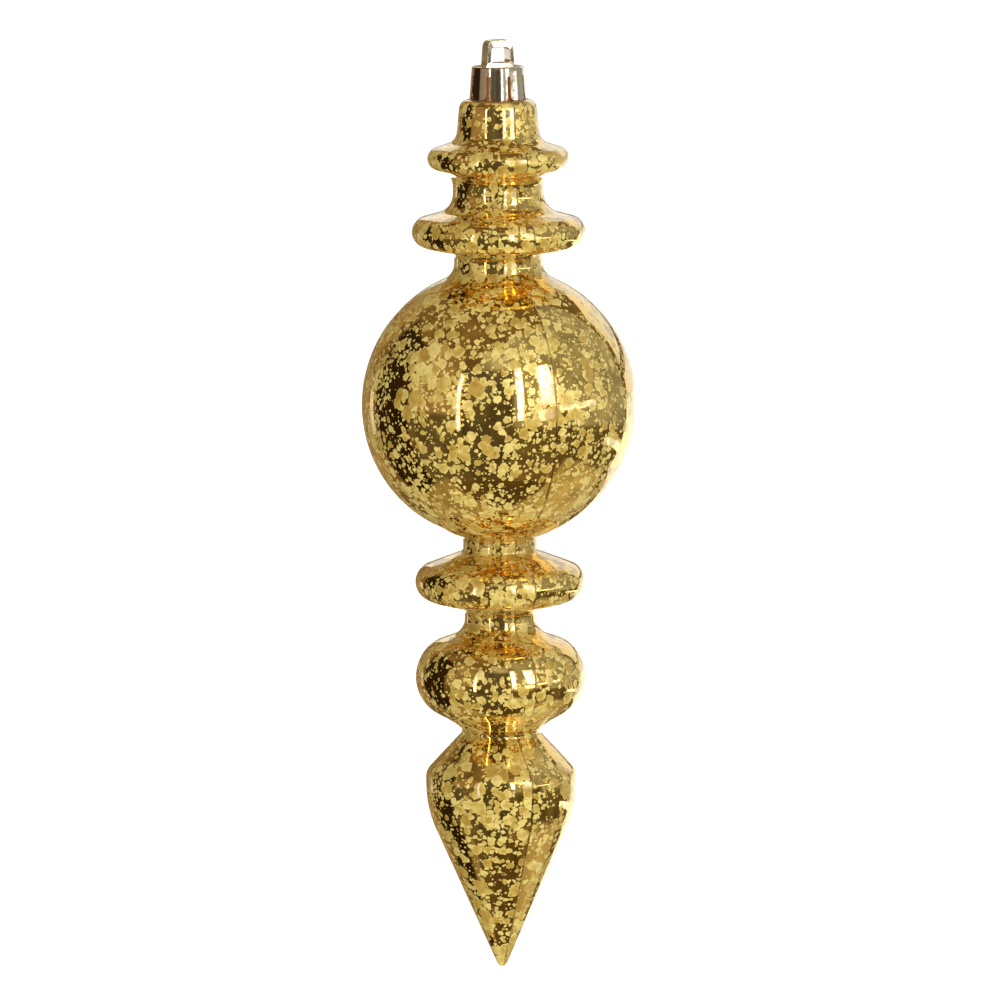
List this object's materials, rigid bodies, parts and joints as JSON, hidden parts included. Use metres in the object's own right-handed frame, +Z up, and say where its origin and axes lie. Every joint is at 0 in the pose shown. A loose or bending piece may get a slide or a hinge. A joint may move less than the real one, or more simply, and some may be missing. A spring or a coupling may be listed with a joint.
{
  "type": "hanging christmas ornament",
  "caption": "Blown drop ornament with rings, a ball, a saucer, a bead and a pointed cone on one axis, that hangs from a slotted crown cap with a closed loop.",
  "frame": {"origin": "middle of the underside of the loop's top bar, where a hook or string bears", "axes": "+Z up along the axis that the ornament is turned about, -Y towards the front, where the parting line and one slot of the cap are; the loop's window runs along Y"},
  "size_m": [0.1, 0.1, 0.3392],
  "materials": {
    "gold_mercury_finish": "clear glossy plastic, gold-coated inside with an antiqued droplet pattern",
    "silvered_cap": "bright silver metallised plastic"
  },
  "bodies": {
    "root": {"ornament_body": "gold_mercury_finish", "crown_cap": "silvered_cap"}
  },
  "joints": []
}
